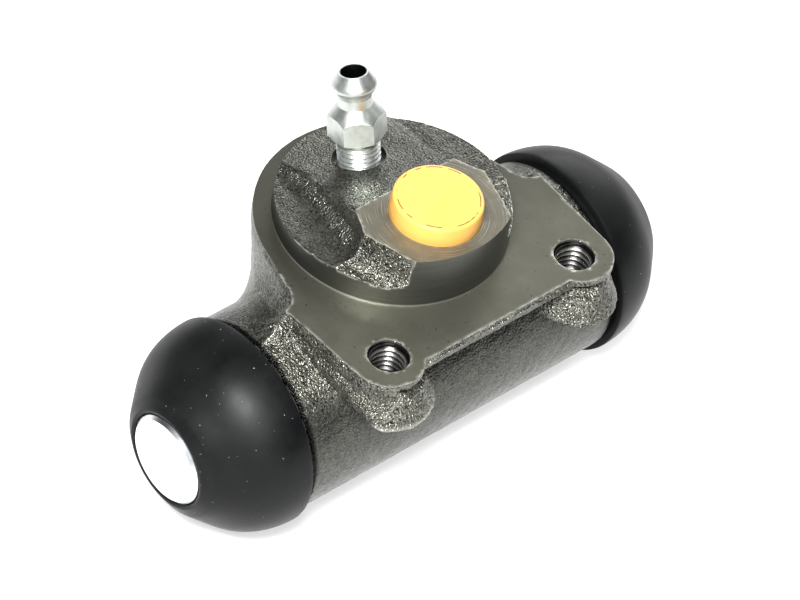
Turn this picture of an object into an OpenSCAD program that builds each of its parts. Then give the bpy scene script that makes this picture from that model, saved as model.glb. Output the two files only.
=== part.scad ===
/* [Bore and barrel] */
// Diameter of the hydraulic bore
bore_d = 20.64; // [18:0.02:22]
// Outer diameter of the cast barrel
barrel_d = 30.7; // [29:0.1:34]
// Length of the barrel between its two end shoulders
barrel_len = 59.2; // [56:0.1:66]
// Depth of the bore axis below the mounting face
bore_drop = 19.5; // [18:0.1:23]
// Distance from the spigot's centre forward to the bore axis
bore_front = 6; // [4:0.1:8]
// Diameter of the nose that each dust boot clips on
nose_d = 26.4; // [26:0.1:27.6]
// Length of that nose beyond the barrel's shoulder
nose_len = 4.4; // [4:0.1:6]

/* [Mounting face] */
// Radius of the pilot spigot
spigot_r = 17.5; // [16:0.1:19]
// Height of the spigot's cast top above the mounting face, at the mould's parting plane
spigot_h = 4.2; // [4:0.1:5]
// Height of the straight pilot land at the spigot's foot; the wall above it tapers
pilot_land = 1.3; // [1:0.1:1.4]
// Width of the machined seat round the spigot
seat_w = 2.7; // [2:0.1:4]
// Thickness of the flange at its edge
flange_t = 2; // [1.5:0.1:3]
// Spacing of the two bolt holes
hole_spacing = 36; // [33:0.1:40]
// Distance from the spigot's centre forward to the bolt holes
hole_front = 20.5; // [19:0.1:23]
// Outside diameter of the bolt thread
bolt_d = 6; // [5:0.1:7]
// Radius of the ear round each bolt hole
ear_r = 5.7; // [5.2:0.1:6.4]
// Depth of the cast lug below each ear, from the mounting face
lug_depth = 7.7; // [7:0.1:10]
// Radius of the lug at its lower edge
lug_r = 7.9; // [7:0.1:8.6]

/* [Port boss and bleed boss] */
// Height of the machined port face above the mounting face
port_face_h = 9; // [7.5:0.1:11]
// Diameter of the inlet port's thread
port_d = 10; // [8:0.1:11]
// Distance from the spigot's centre forward to the port axis
port_front = 8.6; // [7.5:0.1:10]
// Distance from the spigot's centre left to the port axis
port_side = 0.5; // [0:0.1:1]
// Depth of the port's threaded hole
port_depth = 11; // [9:0.1:13]
// Lean of the bleed screw away from the mounting face's normal, in degrees
bleed_tilt = 17; // [10:1:22]
// Distance from the spigot's centre back to the bleed screw, at the boss's surface
bleed_back = 8.3; // [7:0.1:9.5]

/* [Bleed screw] */
// Outside diameter of the bleed screw's thread
bleed_d = 6.5; // [5.5:0.1:7.5]
// Width of its hexagon across flats
bleed_hex = 7.6; // [7:0.1:9]
// Height of the screw above the boss
bleed_h = 14.3; // [12.5:0.1:17]
// Length of the screw in the body
bleed_in = 13; // [12:0.1:14]

/* [Pistons and boots] */
// Distance between the outer ends of the two pistons
pistons_span = 89.2; // [87:0.1:94]
// Diameter of the piston's nose, seen in the boot
piston_nose_d = 14; // [12:0.1:16]
// Distance between the inner ends of the two pistons
pistons_gap = 36; // [34:0.1:42]
// Radius of the boot's rim and dome
boot_r = 16.3; // [15.8:0.1:18]
// Thickness of the boot's wall
boot_wall = 1.5; // [1.2:0.1:2]

/* [Seals and spring] */
// Thickness of the cup seal's base
cup_base_t = 2.4; // [2:0.1:3]
// Length of the cup seal's lip
cup_lip_len = 3; // [2:0.1:4]
// Thickness of the cup expander's sheet
expander_t = 0.8; // [0.6:0.1:1]
// Mean diameter of the return spring
spring_d = 11; // [9:0.1:12]
// Diameter of the spring wire
spring_wire_d = 1.1; // [0.8:0.1:1.4]
// Number of turns of the spring
spring_turns = 7; // [5:1:9]

/* [Fits] */
// Radial clearance of the pistons and cups in the bore
bore_clear = 0.03; // [0.01:0.01:0.06]
// Radial clearance of the bleed screw's thread
thread_clear = 0.05; // [0.02:0.01:0.1]
// Radial clearance of the plug in the port
plug_clear = 0.1; // [0.05:0.05:0.2]
// Clearance of the boots on the nose and round the pistons
boot_clear = 0.2; // [0.1:0.05:0.3]
// Gap between the spring and each expander, and over the bleed screw's seat
seat_gap = 0.2; // [0.1:0.05:0.3]

/* [Hidden] */
$fn = 96;

bore_r = bore_d / 2;
barrel_r = barrel_d / 2;
nose_r = nose_d / 2;
shoulder_x = barrel_len / 2;
nose_x = shoulder_x + nose_len;
bore_y = -bore_front;
bore_z = -bore_drop;

// Mounting flange
seat_r = spigot_r + seat_w;
pilot_taper = 0.2;
floor_draft = 0.14;
hole_x = hole_spacing / 2;
hole_y = -hole_front;
ear_offset = 0.4;
ear_x = hole_x + ear_offset;
flange_half = ear_x + ear_r;
corner_out = 0.7;
corner_half = flange_half + corner_out;
corner_step = 0.2;
corner_y = bore_y - corner_step;
front_setback = 2.1;
front_y = hole_y - ear_r + front_setback;
neck_side = 1.4;
neck_half = seat_r + neck_side;
corner_blunt = 0.6;
neck_fillet_r = corner_half - neck_half + corner_blunt;
neck_end_at = 15;
neck_end_in = 0.05;

// Neck, web and lugs under the flange
neck_deep = 14.5;
neck_draft = 1.4;
neck_round = 7;
web_fillet_r = 8;
web_draft = 2.7;
web_deep = 12;
web_inset = 0.3;
lug_top = 2.8;
lug_swell_r = 2.2;
lug_flare = 0.5;
lug_swell_from = 72;
lug_swell_to = 5;
swell_at = [lug_r - lug_flare - lug_swell_r, -lug_top - lug_swell_r];
shoulder_rise = 1;
shoulder_inset = 0.2;
shoulder_to = -20;
shoulder_foot_r = 6;
shoulder_root_r = 1;
shoulder_deep = lug_depth - shoulder_inset;
flank_fillet = 2.6;
flank_inset = 0.9;
flank_sweep = 42;
ridge_w = 0.5;
ridge_h = 0.25;
corner_break = 0.4;

// Port boss and bleed boss
port_y = -port_front;
port_x = -port_side;
boss_back = 6.8;
boss_back_y = port_y + boss_back;
boss_mid = 2.15;
boss_mid_y = port_y + boss_mid;
boss_step = 0.1;
boss_back_half = 9.4;
boss_mid_half = 11.5;
boss_front_taper = 0.306;
boss_run = 14;
band_right = 8.6;
band_left = 10;
band_lean = 0.15;
valley_r = 4.5;
valley_sink = 0.5;
valley_bite = 0.3;
port_r = port_d / 2;
passage_r = 1.5;
bleed_r = bleed_d / 2;
bleed_y = bleed_back;
bleed_z = port_face_h - boss_step - tan(bleed_tilt) * (bleed_y - boss_back_y);
bleed_point_r = 1.4;
bleed_cone = bleed_r - bleed_point_r;
bleed_hole_deep = bleed_in + seat_gap;
bleed_passage = 8.5;
spot_wall = 0.7;
spot_r = bleed_r + spot_wall;
spot_deep = 0.9;

// Tapped holes
bolt_r = bolt_d / 2;
bolt_chamfer = 0.5;
bolt_through = 0.4;

// Dust boots
groove_in = 1.3;
groove_w = 1.8;
groove_deep = 1;
boot_gap = 0.8;
boot_x = shoulder_x + boot_gap;
piston_end_x = pistons_span / 2;
lip_show = 0.3;
lip_x = piston_end_x - lip_show;
lip_bead_w = 1.8;
lip_bead_deep = 0.7;
lip_edge = 0.6;
lip_groove_x = lip_x - lip_bead_w - lip_edge;
piston_nose_r = piston_nose_d / 2;
dome_rise = boot_r - piston_nose_r - boot_wall;
dome_len = lip_x - boot_x;
dome_r = (dome_rise * dome_rise + dome_len * dome_len) / (2 * dome_rise);
dome_at = [boot_r - dome_r, boot_x];
dome_dip = 0.55;
dome_dip_at = 47.5;
dome_dip_wide = 14;

// Pistons, cups and spring
piston_r = bore_r - bore_clear;
piston_in_x = pistons_gap / 2;
piston_land = 15;
piston_chamfer = 0.5;
cup_lip_t = 1.7;
cup_round = 0.5;
cup_lip_edge = 0.6;
cup_lip_bevel = 0.4;
cup_in_x = piston_in_x - cup_base_t;
expander_rim = 0.5;
expander_disc_r = spring_d / 2 + spring_wire_d / 2 + expander_rim;
expander_flare = 1.4;
expander_len = 2;
expander_hole_r = 1.5;
spring_end_x = cup_in_x - expander_t - seat_gap;

// Points of a round stretch in a profile, from one angle to another
function arc(c, r, from, to, steps = 8) =
    [for (i = [0:steps]) let (a = from + (to - from) * i / steps) c + r * [cos(a), sin(a)]];

// A profile's half and its mirror image at the other end of the bore
function both_ends(half) = concat(half, [for (i = [len(half) - 1:-1:0]) [half[i][0], -half[i][1]]]);

// Body casting

module along_bore() {
    translate([0, bore_y, bore_z]) rotate([0, 90, 0]) children();
}

module at_bleed() {
    translate([0, bleed_y, bleed_z]) rotate([-bleed_tilt, 0, 0]) children();
}

// Seen from above: round seat, plate with two ears, waisted neck between them
module flange_outline() {
    circle(r = seat_r);
    neck_outline();
    polygon([
        [-corner_half, corner_y], [corner_half, corner_y], [flange_half, hole_y], [ear_x, hole_y],
        [ear_x, front_y], [-ear_x, front_y], [-ear_x, hole_y], [-flange_half, hole_y]
    ]);
    for (side = [-1, 1]) translate([side * ear_x, hole_y]) circle(r = ear_r);
}

module neck_outline() {
    fillet_at = [neck_half + neck_fillet_r, corner_y + neck_fillet_r + corner_blunt];
    fillet = arc(fillet_at, neck_fillet_r, 270 - acos(1 - corner_blunt / neck_fillet_r), 180);
    end_r = seat_r - neck_end_in;
    half = concat([[corner_half, corner_y - 1]], fillet, [end_r * [cos(neck_end_at), sin(neck_end_at)]]);
    polygon(concat(half, [for (i = [len(half) - 1:-1:0]) [-half[i][0], half[i][1]]]));
}

// Big round boss that drops from the seat past the back of the barrel
module rear_neck() {
    foot_r = seat_r - neck_draft;
    intersection() {
        rotate_extrude() polygon(concat(
            [[0, -0.5], [seat_r, -0.5], [seat_r, -flange_t]],
            arc([foot_r - neck_round, -neck_deep], neck_round, 0, -90),
            [[0, -neck_deep - neck_round]]
        ));
        translate([-2 * seat_r, bore_y - 4, -2 * bore_drop]) cube([4 * seat_r, 3 * seat_r, 2 * bore_drop]);
    }
}

// Solid web from the plate's underside down to the barrel, hollowed at the front, clear of the ears' corners
module front_web() {
    web_half = flange_half - web_inset;
    intersection() {
        rotate([90, 0, 90]) linear_extrude(4 * flange_half, center = true) difference() {
            polygon([
                [front_y, -flange_t], [front_y, -flange_t / 2], [bore_y, -flange_t / 2],
                [bore_y, bore_z], [front_y + web_fillet_r, bore_z], [front_y, -flange_t - web_fillet_r]
            ]);
            translate([front_y, -flange_t - web_fillet_r]) circle(r = web_fillet_r);
        }
        rotate([90, 0, 0]) linear_extrude(6 * hole_front, center = true) polygon([
            [-web_half, 0], [-web_half, -flange_t], [web_draft - web_half, -web_deep],
            [web_draft - web_half, -bore_drop], [web_half - web_draft, -bore_drop],
            [web_half - web_draft, -web_deep], [web_half, -flange_t], [web_half, 0]
        ]);
        translate([0, 0, -bore_drop - 1]) linear_extrude(bore_drop + 1) polygon([
            [-2 * web_half, bore_y + 1], [2 * web_half, bore_y + 1], [2 * web_half, hole_y],
            [ear_x - web_inset, hole_y], [ear_x - web_inset, front_y - 1], [web_inset - ear_x, front_y - 1],
            [web_inset - ear_x, hole_y], [-2 * web_half, hole_y]
        ]);
    }
}

// Hollow fillet that runs round the barrel from the parting plane to the lug
module flank_fillets() {
    wall_x = flange_half - flank_inset;
    for (side = [0, 1]) mirror([side, 0, 0])
        translate([0, bore_y, bore_z]) rotate([90, 0, 90]) rotate([0, 0, 90])
            rotate_extrude(angle = flank_sweep) difference() {
                translate([barrel_r - 1, wall_x - 2]) square([flank_fillet + 1, flank_fillet + 2]);
                translate([barrel_r + flank_fillet, wall_x + flank_fillet]) circle(r = flank_fillet);
            }
}

// Rounded ledge under the plate's side, from each lug back to the parting plane, rising a little
module web_shoulders() {
    run = bore_y - hole_y;
    fall = atan(shoulder_rise / run);
    for (side = [0, 1]) mirror([side, 0, 0])
        translate([ear_x - shoulder_inset, bore_y, shoulder_rise]) rotate([90 + fall, 0, 0])
            linear_extrude(run) polygon(concat(
                [[shoulder_root_r, -flange_t - shoulder_rise], [ear_r - 1, -flange_t - shoulder_rise]],
                arc(swell_at, lug_swell_r, lug_swell_from, shoulder_to),
                [[shoulder_foot_r, -shoulder_deep], [shoulder_root_r, -shoulder_deep]]
            ));
}

// Swollen boss that holds the bolt thread below each ear
module lugs() {
    for (side = [-1, 1]) translate([side * ear_x, hole_y, 0]) rotate_extrude() polygon(concat(
        [[0, -flange_t / 2], [ear_r, -flange_t / 2], [ear_r, -lug_top]],
        arc(swell_at, lug_swell_r, lug_swell_from, lug_swell_to),
        [[lug_r, -lug_depth], [0, -lug_depth]]
    ));
}

// Barrel with a nose and boot groove at each end, and the mould's parting ridge
module barrel() {
    groove_x = shoulder_x + groove_in;
    along_bore() rotate_extrude() polygon(both_ends([
        [0, nose_x], [nose_r - corner_break, nose_x], [nose_r, nose_x - corner_break],
        [nose_r, groove_x + groove_w], [nose_r - groove_deep, groove_x + groove_w],
        [nose_r - groove_deep, groove_x], [nose_r, groove_x], [nose_r, shoulder_x],
        [barrel_r - corner_break, shoulder_x], [barrel_r, shoulder_x - corner_break]
    ]));
    translate([0, bore_y, bore_z]) rotate([90, 0, 0]) linear_extrude(ridge_w, center = true)
        square([barrel_len - 2, 2 * (barrel_r + ridge_h)], center = true);
}

// Turned spigot that carries the port boss, the sloping bleed boss and the cast valleys
module spigot() {
    intersection() {
        rotate_extrude() polygon([
            [0, -1], [spigot_r, -1], [spigot_r, pilot_land], [spigot_r - pilot_taper, port_face_h + 1],
            [0, port_face_h + 1]
        ]);
        union() {
            cast_floor();
            translate([port_x, 0, -2]) linear_extrude(port_face_h + 2) polygon([
                [-boss_back_half, boss_back_y], [boss_back_half, boss_back_y],
                [boss_mid_half, boss_mid_y],
                [boss_mid_half - boss_run * boss_front_taper, boss_mid_y - boss_run],
                [boss_run * boss_front_taper - boss_mid_half, boss_mid_y - boss_run],
                [-boss_mid_half, boss_mid_y]
            ]);
            bleed_boss();
            valleys();
        }
    }
}

// Height of the spigot's cast floor, which falls both ways from the parting plane
function floor_z(y) = spigot_h - floor_draft * abs(y - bore_y);

// Cast top of the spigot, with the mould's parting ridge along its crest
module cast_floor() {
    reach = 2 * spigot_r;
    rotate([90, 0, 90]) linear_extrude(2 * reach, center = true) polygon([
        [-reach, -2], [-reach, floor_z(-reach)], [bore_y - ridge_w / 2, floor_z(bore_y - ridge_w / 2)],
        [bore_y - ridge_w / 2, spigot_h + ridge_h], [bore_y + ridge_w / 2, spigot_h + ridge_h],
        [bore_y + ridge_w / 2, floor_z(bore_y + ridge_w / 2)], [reach, floor_z(reach)], [reach, -2]
    ]);
}

// Band behind the port face, square to the bleed screw; its left wall runs in towards the back
module bleed_boss() {
    top = port_face_h - boss_step;
    run = 2 * spigot_r;
    intersection() {
        rotate([90, 0, 90]) linear_extrude(4 * spigot_r, center = true) polygon([
            [boss_back_y - 1, -1], [boss_back_y - 1, top - 1], [boss_back_y, top],
            [boss_back_y + run, top - run * tan(bleed_tilt)], [boss_back_y + run, -run]
        ]);
        translate([0, 0, -1]) linear_extrude(port_face_h + 1) polygon([
            [-band_left, boss_back_y - 2], [band_right, boss_back_y - 2],
            [band_right, boss_back_y + run], [band_lean * run - band_left, boss_back_y + run]
        ]);
    }
}

// Hollow fillet along each front side of the port boss
module valleys() {
    lean = atan(boss_front_taper);
    fall = atan(floor_draft * cos(lean));
    translate([port_x, 0, 0]) for (side = [0, 1]) mirror([side, 0, 0])
        translate([boss_mid_half, boss_mid_y, floor_z(boss_mid_y) - valley_sink])
            rotate([90 + fall, 0, -lean]) translate([0, 0, valley_bite])
                linear_extrude(boss_run) difference() {
                    translate([-1, -valley_sink]) square([valley_r + valley_sink, valley_r]);
                    translate([valley_r - valley_bite, valley_r]) circle(r = valley_r);
                }
}

module bore_cut() {
    lead = 0.6;
    along_bore() rotate_extrude() polygon(both_ends([
        [0, nose_x + 1], [bore_r + lead, nose_x + 1], [bore_r + lead, nose_x], [bore_r, nose_x - lead]
    ]));
}

module bolt_cut() {
    for (side = [-1, 1]) translate([side * hole_x, hole_y, 0]) {
        translate([0, 0, -lug_depth - bolt_through]) cylinder(r = bolt_r, h = lug_depth + 1);
        translate([0, 0, -bolt_chamfer]) rotate_extrude() polygon([
            [0, 0], [bolt_r, 0], [bolt_r + bolt_chamfer, bolt_chamfer],
            [bolt_r + bolt_chamfer, 1], [0, 1]
        ]);
    }
}

module port_cut() {
    translate([port_x, port_y, port_face_h]) {
        translate([0, 0, -port_depth]) cylinder(r = port_r, h = port_depth + 1);
        translate([0, 0, -port_face_h + bore_z + bore_r - 2]) cylinder(r = passage_r, h = bore_drop);
    }
}

// Spot face, thread, cone seat and passage down to the bore, along the leaning axis
module bleed_cut() {
    at_bleed() rotate_extrude() polygon([
        [0, 2], [spot_r, 2], [spot_r, -spot_deep], [bleed_r + thread_clear, -spot_deep],
        [bleed_r + thread_clear, bleed_cone - bleed_hole_deep], [bleed_point_r, -bleed_hole_deep],
        [bleed_point_r, -bleed_hole_deep - bleed_passage], [0, -bleed_hole_deep - bleed_passage]
    ]);
}

module body() {
    color([0.31, 0.31, 0.28]) difference() {
        union() {
            barrel();
            rear_neck();
            front_web();
            flank_fillets();
            web_shoulders();
            lugs();
            translate([0, 0, -flange_t]) linear_extrude(flange_t) flange_outline();
            translate([0, 0, bore_z / 2]) linear_extrude(-bore_z / 2 - flange_t / 2) neck_outline();
            spigot();
        }
        bore_cut();
        bolt_cut();
        port_cut();
        bleed_cut();
    }
}

// Bleed screw: hose nipple, neck, hexagon, thread and cone, with a drilled passage

module bleed_screw() {
    hex_low = 3.6;
    hex_high = 6.9;
    hex_turn = 23;
    hex_flat = bleed_hex / 2;
    hex_corner = hex_flat / cos(30);
    hex_over = 0.2;
    hex_slope = 1.16;
    neck_r = 2.56;
    neck_low = hex_high + hex_slope * (hex_corner - neck_r + hex_over);
    undercut = 0.2;
    undercut_r = bleed_r - undercut;
    undercut_h = 0.8;
    bulge_r = 3.36;
    bulge_s = bleed_h - 2;
    bulge_under = 2;
    bulge_round = 0.3;
    tip_r = 2.18;
    hole_r = 1.3;
    mouth_r = 1.85;
    mouth_deep = 1.2;
    cross_hole_r = 0.8;
    cross_hole_s = 3;
    color([0.86, 0.88, 0.87]) at_bleed() difference() {
        union() {
            intersection() {
                translate([0, 0, hex_low - 1]) rotate([0, 0, hex_turn])
                    cylinder(r = hex_corner, h = neck_low - hex_low + 2, $fn = 6);
                rotate_extrude() polygon([
                    [0, hex_low], [hex_flat - hex_over, hex_low],
                    [hex_corner + hex_over, hex_low + 2 * hex_over],
                    [hex_corner + hex_over, hex_high - hex_slope * hex_over],
                    [neck_r - hex_over, neck_low], [0, neck_low]
                ]);
            }
            rotate_extrude() polygon([
                [0, bleed_h], [tip_r, bleed_h], [bulge_r - bulge_round / 2, bulge_s + bulge_round],
                [bulge_r, bulge_s], [bulge_r - bulge_round / 2, bulge_s - bulge_round],
                [neck_r, bulge_s - bulge_under], [neck_r, hex_low + 1], [undercut_r, hex_low + 1],
                [undercut_r, hex_low - undercut_h], [bleed_r, hex_low - undercut_h - undercut],
                [bleed_r, bleed_cone - bleed_in], [bleed_point_r, -bleed_in], [0, -bleed_in]
            ]);
        }
        translate([0, 0, 2 - bleed_in]) cylinder(r = hole_r, h = bleed_h + bleed_in);
        translate([0, 0, bleed_h - mouth_deep]) rotate_extrude() polygon([
            [0, 0], [hole_r, 0], [mouth_r, mouth_deep], [mouth_r, 2 * mouth_deep], [0, 2 * mouth_deep]
        ]);
        translate([0, 0, cross_hole_s - bleed_in]) rotate([0, 90, 0])
            cylinder(r = cross_hole_r, h = 3 * bleed_r, center = true);
    }
}

// Shipping plug: flat tapered cap with a hollow stub in the port

module port_plug() {
    head_brim = 1.95;
    head_draft = 0.3;
    head_low_r = port_r + head_brim;
    head_high_r = head_low_r - head_draft;
    head_h = 3.1;
    stub_len = 7;
    wall = 1.2;
    edge = 0.35;
    stub_lead = 0.6;
    color([0.98, 0.88, 0.36]) translate([port_x, port_y, port_face_h]) rotate_extrude() difference() {
        polygon([
            [0, head_h], [head_high_r - edge, head_h], [head_high_r, head_h - edge], [head_low_r, 0],
            [port_r - plug_clear, 0], [port_r - plug_clear, 1 - stub_len],
            [port_r - plug_clear - stub_lead, -stub_len], [0, -stub_len]
        ]);
        translate([0, -stub_len - 1]) square([port_r - plug_clear - wall, stub_len + head_h - wall]);
    }
}

// Dust boot: rim with a bead in the nose's groove, domed wall, lip with a bead in the piston's groove

// Point on the dome's section at an angle from the bore axis, over a wide shallow hollow, less an inset
function dome_point(a, inset) = dome_at + [sin(a), cos(a)]
    * (dome_r - inset - dome_dip * exp(-pow((a - dome_dip_at) / dome_dip_wide, 2)));

// Angle from the bore axis at which a round reaches a distance along the bore
function angle_at(x, r) = acos((x - boot_x) / r);

module boot_profile() {
    steps = 20;
    nose_out = nose_r + boot_clear;
    bead_r = nose_r - groove_deep + boot_clear;
    bead_low = shoulder_x + groove_in + boot_clear;
    bead_high = shoulder_x + groove_in + groove_w - boot_clear;
    foot_x = shoulder_x + boot_clear;
    foot_r = barrel_r - corner_break;
    rim_high = bead_high + boot_wall;
    rim_turn = 4;
    lip_r = piston_nose_r + boot_clear;
    lip_bead_r = lip_r - lip_bead_deep;
    lip_bead_low = lip_groove_x + boot_clear;
    lip_bead_high = lip_groove_x + lip_bead_w - boot_clear;
    lip_low = lip_groove_x - lip_edge;
    lip_turn = 3;
    inner_r = dome_r - boot_wall;
    out_from = 90 - rim_turn;
    out_to = angle_at(lip_x, dome_r) + lip_turn;
    in_from = angle_at(lip_low, inner_r) + 1;
    in_to = angle_at(rim_high, inner_r) - 1;
    polygon(concat(
        [[nose_out, foot_x], [foot_r, foot_x], [foot_r, boot_x], [boot_r, boot_x]],
        [for (i = [0:steps]) dome_point(out_from + (out_to - out_from) * i / steps, 0)],
        [[piston_nose_r + boot_wall - dome_dip / 2, lip_x], [lip_r, lip_x]],
        [[lip_r, lip_bead_high], [lip_bead_r, lip_bead_high], [lip_bead_r, lip_bead_low]],
        [[lip_r, lip_bead_low], [lip_r, lip_low], [piston_nose_r + boot_wall, lip_low]],
        [for (i = [0:steps]) dome_point(in_from + (in_to - in_from) * i / steps, boot_wall)],
        [[dome_at[0] + inner_r * sin(in_to), rim_high], [nose_out, rim_high]],
        [[nose_out, bead_high], [bead_r, bead_high], [bead_r, bead_low], [nose_out, bead_low]]
    ));
}

module boot() {
    color([0.13, 0.14, 0.15]) along_bore() rotate_extrude() boot_profile();
}

module left_boot() {
    mirror([1, 0, 0]) boot();
}

module right_boot() {
    boot();
}

// Piston: land in the bore, shoulder and nose with the boot's groove

module piston() {
    land_x = piston_in_x + piston_land;
    groove_end_x = lip_groove_x + lip_bead_w;
    color([0.9, 0.92, 0.93]) along_bore() rotate_extrude() polygon([
        [0, piston_in_x], [piston_r - piston_chamfer, piston_in_x], [piston_r, piston_in_x + piston_chamfer],
        [piston_r, land_x - piston_chamfer], [piston_r - piston_chamfer, land_x],
        [piston_nose_r + piston_chamfer, land_x], [piston_nose_r, land_x + piston_chamfer],
        [piston_nose_r, lip_groove_x], [piston_nose_r - lip_bead_deep, lip_groove_x],
        [piston_nose_r - lip_bead_deep, groove_end_x], [piston_nose_r, groove_end_x],
        [piston_nose_r, piston_end_x - piston_chamfer], [piston_nose_r - piston_chamfer, piston_end_x],
        [0, piston_end_x]
    ]);
}

module left_piston() {
    mirror([1, 0, 0]) piston();
}

module right_piston() {
    piston();
}

// Cup seal: rubber cup with its lip towards the middle of the bore

module cup_seal() {
    lip_x_end = cup_in_x - cup_lip_len;
    color([0.1, 0.1, 0.1]) along_bore() rotate_extrude() polygon([
        [0, cup_in_x], [piston_r - cup_lip_t - cup_round, cup_in_x],
        [piston_r - cup_lip_t, cup_in_x - cup_round], [piston_r - cup_lip_edge, lip_x_end],
        [piston_r, lip_x_end + cup_lip_bevel], [piston_r, cup_in_x],
        [piston_r - cup_round, piston_in_x], [0, piston_in_x]
    ]);
}

module left_cup_seal() {
    mirror([1, 0, 0]) cup_seal();
}

module right_cup_seal() {
    cup_seal();
}

// Cup expander: pressed dish that holds the cup's lip out and centres the spring

module cup_expander() {
    slope = expander_t * 1.2;
    flare_x = cup_in_x - expander_len;
    color([0.72, 0.68, 0.5]) along_bore() rotate_extrude() polygon([
        [expander_hole_r, cup_in_x], [expander_disc_r, cup_in_x],
        [expander_disc_r + expander_flare, flare_x], [expander_disc_r + expander_flare - slope, flare_x],
        [expander_disc_r - expander_t / 3, cup_in_x - expander_t], [expander_hole_r, cup_in_x - expander_t]
    ]);
}

module left_cup_expander() {
    mirror([1, 0, 0]) cup_expander();
}

module right_cup_expander() {
    cup_expander();
}

// Return spring: open coil with closed end turns between the two expanders

module return_spring() {
    steps = 18;
    sides = 8;
    count = spring_turns * steps;
    half = spring_end_x - spring_wire_d / 2;
    closed = 1 / spring_turns;
    rise = function (t) let (u = (t - closed) / (1 - 2 * closed)) t < closed
        ? 0 : t > 1 - closed ? 1 : u;
    ring = function (i) let (
        t = i / count,
        a = 360 * i / steps,
        lift = spring_wire_d * (t < closed ? t : t > 1 - closed ? t - 1 + 2 * closed : closed) / closed,
        x = -half + lift + (2 * half - 2 * spring_wire_d) * rise(t)
    ) [for (k = [0:sides - 1]) let (
        b = 360 * k / sides,
        r = spring_d / 2 + spring_wire_d / 2 * cos(b)
    ) [x + spring_wire_d / 2 * sin(b), bore_y + r * cos(a), bore_z + r * sin(a)]];
    points = [for (i = [0:count]) each ring(i)];
    walls = [for (i = [0:count - 1]) for (k = [0:sides - 1]) [
        i * sides + k, i * sides + (k + 1) % sides, (i + 1) * sides + (k + 1) % sides, (i + 1) * sides + k
    ]];
    ends = [[for (k = [sides - 1:-1:0]) k], [for (k = [0:sides - 1]) count * sides + k]];
    color([0.6, 0.62, 0.64]) polyhedron(points, concat(walls, ends), convexity = 10);
}

body();
bleed_screw();
port_plug();
left_boot();
right_boot();
left_piston();
right_piston();
left_cup_seal();
right_cup_seal();
left_cup_expander();
right_cup_expander();
return_spring();
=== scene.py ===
import math

import bpy
import numpy as np
from mathutils import Matrix, Vector


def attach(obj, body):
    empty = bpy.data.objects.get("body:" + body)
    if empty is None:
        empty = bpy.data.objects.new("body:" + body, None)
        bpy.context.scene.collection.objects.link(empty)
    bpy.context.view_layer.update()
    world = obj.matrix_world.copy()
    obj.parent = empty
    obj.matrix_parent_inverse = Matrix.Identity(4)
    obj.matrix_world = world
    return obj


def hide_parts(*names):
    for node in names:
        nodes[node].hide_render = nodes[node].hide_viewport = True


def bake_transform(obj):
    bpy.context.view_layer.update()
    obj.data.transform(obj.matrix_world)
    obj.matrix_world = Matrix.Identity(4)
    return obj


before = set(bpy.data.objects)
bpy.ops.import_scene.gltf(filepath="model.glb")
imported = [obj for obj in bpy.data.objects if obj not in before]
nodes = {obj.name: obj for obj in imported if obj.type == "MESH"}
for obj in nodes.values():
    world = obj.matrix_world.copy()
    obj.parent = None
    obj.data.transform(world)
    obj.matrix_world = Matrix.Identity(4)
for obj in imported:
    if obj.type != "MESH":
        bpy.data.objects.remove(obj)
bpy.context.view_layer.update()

# Body casting: one piece of grey iron, sand cast in a mould that parts along the bore, so every
# cast form leans away from that plane. The flange, spigot, port face, bore and holes are machined.
MM = 0.001


def fillet_join(a, b, r):
    """Union of two solids given by distance, with a hollow fillet of radius r in the corner between."""
    return np.maximum(r, np.minimum(a, b)) - np.hypot(np.maximum(r - a, 0), np.maximum(r - b, 0))


def round_meet(a, b, r):
    """Intersection of two solids given by distance, with the edge between them rounded to radius r."""
    return -fillet_join(-a, -b, r)


def outer_corner(a, b):
    """Distance from the corner where two faces meet at right angles, true also outside the corner."""
    return np.hypot(np.maximum(a, 0), np.maximum(b, 0)) + np.minimum(np.maximum(a, b), 0)


def swell(x, y, z, size, waves, seed):
    """Random relief of about unit height: plane waves of about that length, in random directions, summed."""
    pick = np.random.default_rng(seed)
    ways = pick.normal(size=(waves, 3))
    ways *= (2 * np.pi / size * pick.uniform(0.7, 1.4, waves) / np.linalg.norm(ways, axis=1))[:, None]
    total = np.zeros_like(x)
    for way, phase in zip(ways, pick.uniform(0, 2 * np.pi, waves)):
        total += np.sin(way[0] * x + way[1] * y + way[2] * z + phase)
    return total / np.sqrt(waves)


BLEED_FOOT = np.array([0.0, 8.3, 5.812])
BLEED_LEAN = math.radians(17)


def along_bleed(x, y, z):
    """Height along the bleed screw's leaning axis above the boss, and distance from that axis."""
    c, s = math.cos(BLEED_LEAN), math.sin(BLEED_LEAN)
    dy, dz = y - BLEED_FOOT[1], z - BLEED_FOOT[2]
    return s * dy + c * dz, np.hypot(x, c * dy - s * dz)


WAIST_X, WAIST_TAPER, WAIST_COS, WAIST_SIDE = 21.6, 0.3, 0.958, 24.8
WAIST_BACK, WAIST_FRONT = 5.2, -6.8
HOLLOW_X, HOLLOW_Y, HOLLOW_R = 25.4, -1.8, 3.8


def waist_outline(ax, y):
    """Distance from the waist between the seat disc and the plate's back corners, hollow at each side."""
    side = np.where(y > HOLLOW_Y, (ax - WAIST_X + WAIST_TAPER * (y - HOLLOW_Y)) * WAIST_COS,
                    np.maximum(ax - WAIST_SIDE, HOLLOW_R - np.hypot(ax - HOLLOW_X, y - HOLLOW_Y)))
    return np.maximum(np.maximum(side, y - WAIST_BACK), WAIST_FRONT - y)


SEAT_R = 20.2
EAR_X, EAR_Y, EAR_R = 18.4, -20.5, 5.7
PLATE_X, PLATE_FLARE, PLATE_FRONT, PLATE_BACK = 24.1, 0.049, -24.1, -6.2


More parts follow.
